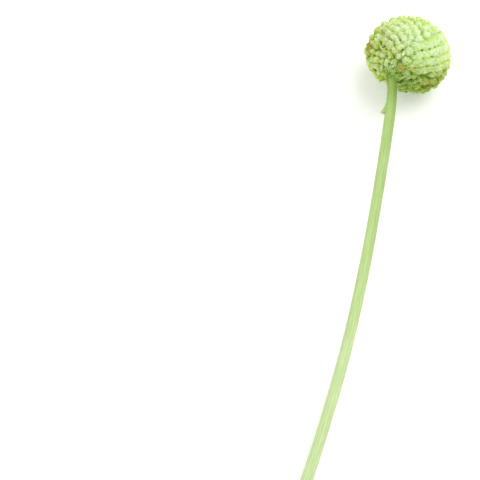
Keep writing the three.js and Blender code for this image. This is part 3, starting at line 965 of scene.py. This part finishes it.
class Tree:
    """A material under construction."""

    def __init__(self, name):
        self.material = bpy.data.materials.new(name)
        self.material.use_nodes = True
        self.nodes = self.material.node_tree.nodes
        self.links = self.material.node_tree.links
        self.shader = self.nodes["Principled BSDF"]

    def node(self, kind, **settings):
        made = self.nodes.new(kind)
        for key, value in settings.items():
            setattr(made, key, value)
        return made

    def put(self, socket, value):
        if isinstance(value, bpy.types.NodeSocket):
            self.links.new(value, socket)
        else:
            socket.default_value = value

    def shade(self, values):
        for name, value in values.items():
            self.put(self.shader.inputs[name], value)

    def fact(self, name, output="Fac"):
        return self.node("ShaderNodeAttribute", attribute_name=name).outputs[output]

    def math(self, operation, a, b):
        made = self.node("ShaderNodeMath", operation=operation)
        self.put(made.inputs[0], a)
        self.put(made.inputs[1], b)
        return made.outputs[0]

    def share(self, name, amount):
        return self.math("MULTIPLY", self.fact(name), amount)

    def span(self, value, low, high, to_low=0.0, to_high=1.0):
        made = self.node("ShaderNodeMapRange")
        for socket, v in zip(made.inputs, (value, low, high, to_low, to_high)):
            self.put(socket, v)
        return made.outputs[0]

    def noise(self, scale, detail, vector=None):
        made = self.node("ShaderNodeTexNoise")
        for name, value in (("Scale", scale), ("Detail", detail), ("Roughness", NOISE_ROUGHNESS)):
            made.inputs[name].default_value = value
        if vector is None:
            vector = self.node("ShaderNodeTexCoord").outputs["Object"]
        self.links.new(vector, made.inputs["Vector"])
        return made.outputs["Fac"]

    def ramp(self, value, stops):
        made = self.node("ShaderNodeValToRGB")
        items = made.color_ramp.elements
        while len(items) < len(stops):
            items.new(0.5)
        for item, (place, colour) in zip(items, stops):
            item.position = place
            item.color = srgb(*colour)
        self.links.new(value, made.inputs["Fac"])
        return made.outputs["Color"]

    def mix(self, share, a, b, blend="MIX"):
        made = self.node("ShaderNodeMix", data_type="RGBA", blend_type=blend)
        self.put(made.inputs["Factor"], share)
        self.put(made.inputs[6], a)
        self.put(made.inputs[7], b)
        return made.outputs[2]

    def tint(self, share, colour, r, g, b):
        """The colour, a share of it multiplied by another."""
        return self.mix(share, colour, srgb(r, g, b), "MULTIPLY")

    def bump(self, height, strength, distance):
        made = self.node("ShaderNodeBump")
        made.inputs["Strength"].default_value = strength
        made.inputs["Distance"].default_value = distance * MM
        self.links.new(height, made.inputs["Height"])
        return made.outputs["Normal"]

    def finish(self, colour, roughness, normal, soft):
        self.shade({
            "Base Color": colour,
            "Roughness": roughness,
            "Normal": normal,
            "Specular IOR Level": 0.25,
            "Subsurface Weight": soft,
            "Subsurface Radius": (1.0, 1.0, 0.5),
            "Subsurface Scale": 0.9 * MM,
        })
        return self.material


def floret_material():
    t = Tree("floret")
    fine = t.noise(1500, 4)
    fleck = t.noise(620, 2)
    patches = t.noise(120, 3)
    depth = t.math("ADD", t.fact("depth"), t.span(fine, 0.3, 0.7, -0.06, 0.06))
    depth = t.math("ADD", depth, t.span(fleck, 0.38, 0.62, -0.16, 0.3))
    colour = t.ramp(depth, [
        (0.0, (216, 233, 186)),
        (0.12, (211, 229, 170)),
        (0.28, (202, 222, 140)),
        (0.48, (192, 215, 110)),
        (0.75, (172, 200, 92)),
        (1.0, (138, 166, 60)),
    ])
    seed, age = t.fact("seed"), t.fact("age")
    yellow = t.span(patches, 0.4, 0.66, 0.0, 0.35)
    colour = t.tint(yellow, colour, 222, 234, 150)
    colour = t.tint(t.span(seed, 0.35, 0.0, 0.0, 0.5), colour, 222, 222, 150)
    colour = t.mix(t.span(seed, 0.6, 1.0, 0.0, 0.3), colour, srgb(228, 242, 206))
    # Painted light: paler on the upper side
    colour = t.mix(t.share("painted_light", 0.4), colour, srgb(218, 236, 186))
    colour = t.tint(t.share("mint", 0.5), colour, 246, 253, 255)
    colour = t.mix(t.share("mint", 0.2), colour, srgb(200, 232, 180))
    # Painted shade: florets a little darker at the listed places
    colour = t.tint(t.fact("painted_shade"), colour, 234, 234, 228)
    # Painted shade: the left side a little darker and yellower
    colour = t.tint(t.fact("left_shade"), colour, 247, 246, 230)
    # Painted shade near the neck, more to its right
    colour = t.tint(t.share("base", 0.65), colour, 156, 188, 112)
    # Painted shade: olive and darker on the lower side, mottled
    olive = t.math("MULTIPLY", t.fact("low"), t.span(patches, 0.35, 0.65, 0.65, 1.0))
    colour = t.tint(olive, colour, 176, 192, 112)
    # Painted shade: lime rings round the outline knobs, with the lime lines of the seams
    colour = t.mix(t.share("ring", 0.8), colour, srgb(180, 208, 76))
    # Painted highlights: the knobs' middles and single floret tips
    colour = t.mix(t.share("fleck", 0.7), colour, srgb(226, 238, 208))
    # Painted shade: dark olive in the deep gaps
    colour = t.mix(t.span(t.fact("hole_shade"), 0.25, 0.8, 0.0, 0.8), colour, srgb(98, 120, 38))
    dry = t.math("MULTIPLY", age, t.span(fleck, 0.3, 0.6, 0.5, 1.0))
    colour = t.tint(dry, colour, 226, 218, 126)
    brown = t.math("MULTIPLY", t.span(age, 0.5, 1.0), t.span(fleck, 0.4, 0.6, 0.0, 0.75))
    colour = t.mix(brown, colour, srgb(158, 132, 64))
    colour = t.mix(t.span(age, 0.5, 1.0, 0.0, 0.6), colour, srgb(164, 146, 66))
    heart = t.ramp(t.fact("eye"), [(0.3, (146, 136, 62)), (0.65, (208, 156, 60))])
    colour = t.mix(t.span(t.fact("eye"), 0.15, 0.55, 0.0, 0.85), colour, heart)
    rough = t.span(fine, 0.3, 0.7, 0.72, 0.92)
    normal = t.bump(fine, 0.5, 0.12)
    return t.finish(colour, rough, normal, soft=0.8)


def stem_material():
    t = Tree("dried_stem")
    flow = t.fact("flow", "Vector")
    fibre = t.noise(3.2, 4, flow)
    streak = t.noise(1.1, 2, flow)
    along = t.fact("along")
    # Darker and greener towards the head: painted shade from the head
    colour = t.ramp(t.span(along, 4, 120), [
        (0.0, (143, 171, 82)),
        (0.07, (152, 182, 95)),
        (0.11, (168, 197, 113)),
        (0.16, (184, 211, 134)),
        (0.4, (192, 217, 149)),
        (0.8, (201, 223, 160)),
        (1.0, (210, 229, 177)),
    ])
    colour = t.tint(t.span(streak, 0.35, 0.7, 0.0, 0.4), colour, 206, 222, 160)
    colour = t.tint(t.span(fibre, 0.4, 0.7, 0.0, 0.25), colour, 226, 238, 190)
    between_ribs = t.span(t.fact("rib"), 0.0, 0.5, 0.22, 0.0)
    colour = t.tint(between_ribs, colour, 176, 204, 130)
    colour = t.tint(t.share("shade", 0.9), colour, 186, 196, 168)
    # Painted shade where the stem goes into the head
    colour = t.mix(t.span(along, 0.5, 4.5, 0.8, 0.0), colour, srgb(118, 148, 64))
    pith = [(0.2, (150, 160, 90)), (0.45, (214, 212, 160)), (0.9, (238, 232, 200))]
    cut = t.fact("cut")
    colour = t.mix(t.span(cut, 0.1, 0.25), colour, t.ramp(cut, pith))
    rough = t.span(fibre, 0.3, 0.7, 0.5, 0.72)
    normal = t.bump(fibre, 0.35, 0.12)
    return t.finish(colour, rough, normal, soft=0.15)


def stub_material():
    t = Tree("leaf_base")
    fibre = t.noise(3.0, 4, t.fact("flow", "Vector"))
    # Paler towards the tip: a painted highlight on it
    colour = t.ramp(t.fact("tip"), [
        (0.0, (168, 198, 112)),
        (0.35, (178, 206, 124)),
        (0.75, (206, 222, 160)),
        (1.0, (226, 228, 184)),
    ])
    colour = t.tint(t.span(fibre, 0.4, 0.66, 0.0, 0.5), colour, 196, 208, 140)
    rough = t.span(fibre, 0.3, 0.7, 0.55, 0.8)
    return t.finish(colour, rough, t.bump(fibre, 0.5, 0.15), soft=0.3)


def bract_material():
    t = Tree("scale_leaf")
    fibre = t.noise(2.6, 4, t.fact("flow", "Vector"))
    blotch = t.noise(700, 2)
    fresh = [(0.0, (108, 142, 42)), (0.4, (140, 178, 54)), (1.0, (160, 190, 68))]
    faded = [(0.0, (138, 168, 84)), (0.4, (166, 194, 106)), (1.0, (200, 220, 150))]
    tip = t.fact("tip")
    # Fresher is a darker green: partly the bracts' own colour, partly painted shade
    colour = t.mix(t.fact("fresh"), t.ramp(tip, faded), t.ramp(tip, fresh))
    colour = t.tint(t.span(fibre, 0.38, 0.66, 0.0, 0.6), colour, 190, 206, 140)
    colour = t.tint(t.span(blotch, 0.5, 0.7, 0.0, 0.4), colour, 214, 206, 130)
    rough = t.span(fibre, 0.3, 0.7, 0.5, 0.75)
    return t.finish(colour, rough, t.bump(fibre, 0.5, 0.12), soft=0.3)


# ---- stage


def floor_and_light():
    floor = add_object("floor", bpy.data.meshes.new("floor"))
    corners = [(x * FLOOR_HALF, y * FLOOR_HALF, FLOOR_LEVEL) for x, y in SQUARE]
    floor.data.from_pydata(corners, [], [(0, 1, 2, 3)])
    t = Tree("floor")
    t.shade({
        "Base Color": FLOOR_COLOUR,
        "Roughness": 0.9,
        "Specular IOR Level": 0.1,
        "Emission Color": WHITE,
        "Emission Strength": FLOOR_GLOW,
    })
    floor.data.materials.append(t.material)
    world = bpy.data.worlds.new("studio")
    world.use_nodes = True
    sky = world.node_tree.nodes["Background"]
    sky.inputs["Color"].default_value = WHITE
    sky.inputs["Strength"].default_value = SKY_STRENGTH
    bpy.context.scene.world = world
    light = bpy.data.lights.new("key", "AREA")
    light.shape = "DISK"
    light.size = LIGHT_SIZE
    light.energy = LIGHT_POWER
    lamp = add_object("key", light)
    lamp.location = LIGHT_AT
    lamp.rotation_mode = "QUATERNION"
    lamp.rotation_quaternion = (Vector(LIGHT_TARGET) - Vector(LIGHT_AT)).to_track_quat("-Z", "Y")
    view = bpy.context.scene.view_settings
    view.view_transform = "Standard"
    view.look = "None"
    view.exposure = 0
    view.gamma = 1


def camera():
    data = bpy.data.cameras.new("camera")
    data.lens = LENS
    data.sensor_width = SENSOR
    cam = add_object("camera", data)
    turn = Matrix(PICTURE.T).to_4x4()
    cam.matrix_world = Matrix.Translation(Vector((MIDDLE + EYE) * MM)) @ turn
    data.clip_start, data.clip_end = 0.01, 20
    bpy.context.scene.camera = cam


camera()
floor_and_light()
head_piece(floret_material())
stem_route = Route()
stem_piece(stem_route, stem_material())
stub_piece(stem_route, stub_material())
scale_leaf = bract_material()
for number, bract in enumerate(BRACTS):
    bract_piece(number, bract, scale_leaf)
